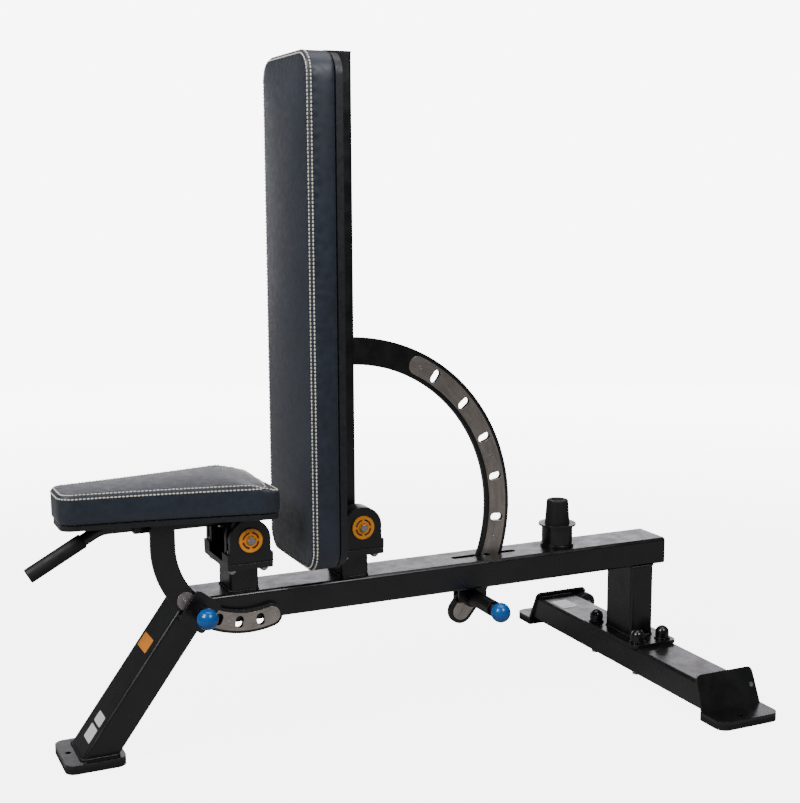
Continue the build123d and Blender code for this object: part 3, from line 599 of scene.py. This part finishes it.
plans = (
    ("back_cushion", "back_pad_cover", "back_pad_stitching", "backrest", 0, -1, 0.006, 0.006, 0.0012),
    ("seat_cushion", "seat_pad_cover", "seat_pad_stitching", "seat", 2, 1, 0.0045, 0.005, 0.0012),
)
for node, cover_name, thread_name, body, axis, sign, voxel, cap, shrink in plans:
    cover, front, rear, points, uv = puff(node, cover_name, body, axis, sign, voxel, cap, shrink)
    finish_cover(cover, node, body, pad_vinyl, axis, sign, front, rear, points, uv)
    stitches(thread_name, cover, body, axis, sign, front, points, uv, 0.0075, 0.0075)


# ---------------------------------------------------------------- weld beads
def bead(bm, path, radius, closed=True):
    """A rippled bead laid along a path: rings of six, swelling and shrinking every few millimetres."""
    points = [Vector(p) for p in path]
    if closed:
        points.append(points[0])
    stations = []
    for a, b in zip(points, points[1:]):
        steps = max(1, int((b - a).length / 0.0014))
        stations += [(a + (b - a) * i / steps, (b - a).normalized()) for i in range(steps)]
    if not closed:
        stations.append((points[-1], stations[-1][1]))
    rings = []
    for index, (at, ahead) in enumerate(stations):
        side = ahead.orthogonal().normalized()
        other = ahead.cross(side)
        size = radius * (0.86 + 0.16 * math.sin(index * 1.9))
        if not closed and index in (0, len(stations) - 1):
            size *= 0.45
        rings.append([bm.verts.new(at + (side * math.cos(k) + other * math.sin(k)) * size)
                      for k in (i * math.pi / 3 for i in range(6))])
    pairs = list(zip(rings, rings[1:]))
    if closed:
        turn = min(range(6), key=lambda k: sum((rings[-1][(i + k) % 6].co - rings[0][i].co).length
                                               for i in range(6)))
        pairs.append((rings[-1][turn:] + rings[-1][:turn], rings[0]))
    for first, second in pairs:
        for i in range(6):
            bm.faces.new((first[i], first[(i + 1) % 6], second[(i + 1) % 6], second[i]))
    if not closed:
        bm.faces.new(rings[0][::-1])
        bm.faces.new(rings[-1])


def rectangle(low, high, z, radius=0.006):
    """A closed path round a rectangle at height z, its corners rounded."""
    path = []
    corners = ((high[0], high[1], 0), (low[0], high[1], 90), (low[0], low[1], 180), (high[0], low[1], 270))
    for x, y, turn in corners:
        cx = x - radius if x == high[0] else x + radius
        cy = y - radius if y == high[1] else y + radius
        for i in range(5):
            a = math.radians(turn + i * 22.5)
            path.append((cx + radius * math.cos(a), cy + radius * math.sin(a), z))
    return path


def welds(name, body, beads):
    """All the beads of one body as one painted piece."""
    bm = bmesh.new()
    for path, radius, closed in beads:
        bead(bm, path, radius, closed)
    bmesh.ops.recalc_face_normals(bm, faces=bm.faces)
    return piece(name, bm, weld, body)


spine_low, spine_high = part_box("spine")
top = spine_high.z
beads = []
for pivot in (back_pivot, seat_pivot):
    foot = rectangle((pivot.x - 0.030, -0.040), (pivot.x + 0.030, 0.040), top + 0.0006)
    beads.append((foot, 0.0026, True))
post_low, post_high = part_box("rear_post")
beads.append((rectangle(post_low, post_high, post_low.z + 0.0006), 0.0028, True))
beads.append((rectangle(post_low, post_high, post_high.z - 0.0006), 0.0026, True))
plate_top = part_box("front_foot_plate")[1].z
leg_low, leg_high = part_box("front_leg")
leg_foot = [v.co.x for v in cad["front_leg"].data.vertices if v.co.z < leg_low.z + 0.0005]
foot = rectangle((min(leg_foot), leg_low.y), (max(leg_foot), leg_high.y), plate_top + 0.0006)
beads.append((foot, 0.0028, True))
bar_low, bar_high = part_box("rear_crossbar")
mitre_x = min(v.co.x for v in cad["spine"].data.vertices
              if v.co.x < spine_low.x + 0.03 and abs(v.co.z - top) < 0.0005)
across_mitre = ((mitre_x, leg_low.y + 0.008, top - 0.0004), (mitre_x, leg_high.y - 0.008, top - 0.0004))
beads.append((across_mitre, 0.0022, False))
for side in (-1, 1):
    end = [(v.co.z, abs(v.co.y)) for v in cad["rear_crossbar"].data.vertices if v.co.y * side > 0]
    high_y = max(y for z, y in end if z > bar_high.z - 0.0005)
    low_y = max(y for z, y in end if z < bar_low.z + 0.0005)
    over = ((bar_low.x + 0.004, side * high_y, bar_high.z), (bar_high.x - 0.004, side * high_y, bar_high.z))
    beads.append((over, 0.0026, False))
    for x in (bar_low.x, bar_high.x):
        down = ((x, side * high_y, bar_high.z - 0.007), (x, side * low_y, bar_low.z + 0.007))
        beads.append((down, 0.0026, False))
welds("frame_welds", "frame", beads)

beads = []
for side in (-1, 1):
    hub = [(back_pivot.x + 0.0213 * math.cos(a), side * 0.0303, back_pivot.z + 0.0213 * math.sin(a))
           for a in (math.radians(d) for d in range(0, 360, 12))]
    beads.append((hub, 0.0020, True))
welds("back_hub_welds", "backrest", beads)


# ---------------------------------------------------------------- blank stickers
def sticker(name, material, body, centre, right, up, width, height, radius=0.003):
    """A thin blank label lying on a flat face."""
    right, up = Vector(right).normalized(), Vector(up).normalized()
    out = right.cross(up)
    bm = bmesh.new()
    ring = []
    for sx, sy, turn in ((1, 1, 0), (-1, 1, 90), (-1, -1, 180), (1, -1, 270)):
        for i in range(5):
            a = math.radians(turn + i * 22.5)
            x = sx * (width / 2 - radius) + radius * math.cos(a)
            y = sy * (height / 2 - radius) + radius * math.sin(a)
            ring.append(bm.verts.new(Vector(centre) + right * x + up * y + out * 0.00015))
    face = bm.faces.new(ring)
    made = bmesh.ops.extrude_face_region(bm, geom=[face])
    lifted = [v for v in made["geom"] if isinstance(v, bmesh.types.BMVert)]
    bmesh.ops.translate(bm, vec=out * 0.0003, verts=lifted)
    bmesh.ops.recalc_face_normals(bm, faces=bm.faces)
    return piece(name, bm, material, body, smooth=False)


leg_top = Vector((mitre_x, 0, top))
leg_toe = Vector((min(leg_foot), 0, leg_low.z))
uphill = (leg_top - leg_toe).normalized()
leg_right = Vector((0, -1, 0))
for name, material, drop, y, width, height in (
        ("leg_label_low", white_label, 0.316, -0.012, 0.046, 0.030),
        ("leg_label_mid", white_label, 0.284, -0.012, 0.046, 0.022),
        ("leg_label_high", orange_label, 0.115, 0.004, 0.062, 0.030)):
    at = leg_top - uphill * drop + Vector((0, y, 0))
    sticker(name, material, "frame", at, leg_right, uphill, width, height)
sticker("crossbar_label", white_label, "frame", (bar_low.x + 0.034, 0.255, bar_high.z),
        (0, -1, 0), (1, 0, 0), 0.060, 0.045)

# ---------------------------------------------------------------- camera, floor, light
scene = bpy.context.scene
lens = bpy.data.cameras.new("view")
lens.sensor_width = 36.0
lens.lens = 60.25
camera = bpy.data.objects.new("view", lens)
scene.collection.objects.link(camera)
scene.camera = camera
yaw, pitch, roll = math.radians(24.55), math.radians(8.62), math.radians(-0.28)
ahead = Vector((math.sin(yaw) * math.cos(pitch), math.cos(yaw) * math.cos(pitch), -math.sin(pitch)))
right = Vector((math.cos(yaw), -math.sin(yaw), 0))
up = right.cross(ahead)
right, up = right * math.cos(roll) + up * math.sin(roll), up * math.cos(roll) - right * math.sin(roll)
stand = back_pivot + Vector((-1.0400, -2.5449, 0.6645))
camera.matrix_world = Matrix.Translation(stand) @ Matrix((right, up, -ahead)).transposed().to_4x4()

floor_mesh = bmesh.new()
bmesh.ops.create_grid(floor_mesh, x_segments=1, y_segments=1, size=30.0)
floor_data = bpy.data.meshes.new("floor")
floor_mesh.to_mesh(floor_data)
floor_mesh.free()
floor = bpy.data.objects.new("floor", floor_data)
scene.collection.objects.link(floor)
pale = Finish("pale_floor", (0.30, 0.30, 0.302), 0.8)
pale.colour(pale.colours(pale.noise(1.5, 3.0), [(0.3, (0.295, 0.295, 0.297)), (0.7, (0.305, 0.305, 0.307))]))
# painted light: the floor glows for camera rays only, dimmer near the bench and brighter further out
glow = pale.nodes.new("ShaderNodeLightPath").outputs["Is Camera Ray"]
pale.shader.inputs["Emission Color"].default_value = (1, 1, 1, 1)
across, along, _ = pale.split()
squares = pale.math("ADD", pale.math("MULTIPLY", across, across), pale.math("MULTIPLY", along, along))
away = pale.math("SQRT", squares)
floor_glow_by_distance = pale.band(away, 0.9, 4.5, 5.6, 7.9)
pale.links.new(pale.math("MULTIPLY", glow, floor_glow_by_distance), pale.shader.inputs["Emission Strength"])
floor_data.materials.append(pale.material)

world = bpy.data.worlds.new("studio")
scene.world = world
world.use_nodes = True
sky = world.node_tree
seen = sky.nodes["Background"]
seen.inputs["Color"].default_value = (1.0, 1.0, 1.0, 1)
seen.inputs["Strength"].default_value = 8.0
dim = sky.nodes.new("ShaderNodeBackground")
dim.inputs["Color"].default_value = (0.93, 0.95, 1.0, 1)
dim.inputs["Strength"].default_value = 0.10
path = sky.nodes.new("ShaderNodeLightPath")
choose = sky.nodes.new("ShaderNodeMixShader")
sky.links.new(path.outputs["Is Camera Ray"], choose.inputs["Fac"])
sky.links.new(dim.outputs["Background"], choose.inputs[1])
sky.links.new(seen.outputs["Background"], choose.inputs[2])
sky.links.new(choose.outputs["Shader"], sky.nodes["World Output"].inputs["Surface"])


def softbox(name, place, target, size, power, colour=(1, 1, 1)):
    data = bpy.data.lights.new(name, "AREA")
    data.shape = "RECTANGLE"
    data.size, data.size_y = size
    data.energy = power
    data.color = colour
    obj = bpy.data.objects.new(name, data)
    scene.collection.objects.link(obj)
    obj.location = place
    obj.rotation_euler = (Vector(target) - Vector(place)).to_track_quat("-Z", "Y").to_euler()
    return obj


softbox("key", (-2.9, -1.0, 3.0), (0.0, 0.0, 0.9), (1.6, 2.0), 125, (1.0, 0.985, 0.97))
softbox("overhead", (0.2, 0.2, 3.4), (0.1, 0.0, 0.3), (3.0, 1.6), 40, (0.98, 0.95, 1.0))
softbox("side", (0.9, -2.6, 3.0), (0.0, 0.0, 1.2), (1.2, 1.2), 60, (0.97, 0.98, 1.0))
backdrop = softbox("backdrop", (2.2, 4.4, 1.1), (0.1, 0.0, 0.4), (7.0, 1.7), 85, (0.99, 0.95, 1.0))
backdrop.visible_camera = False
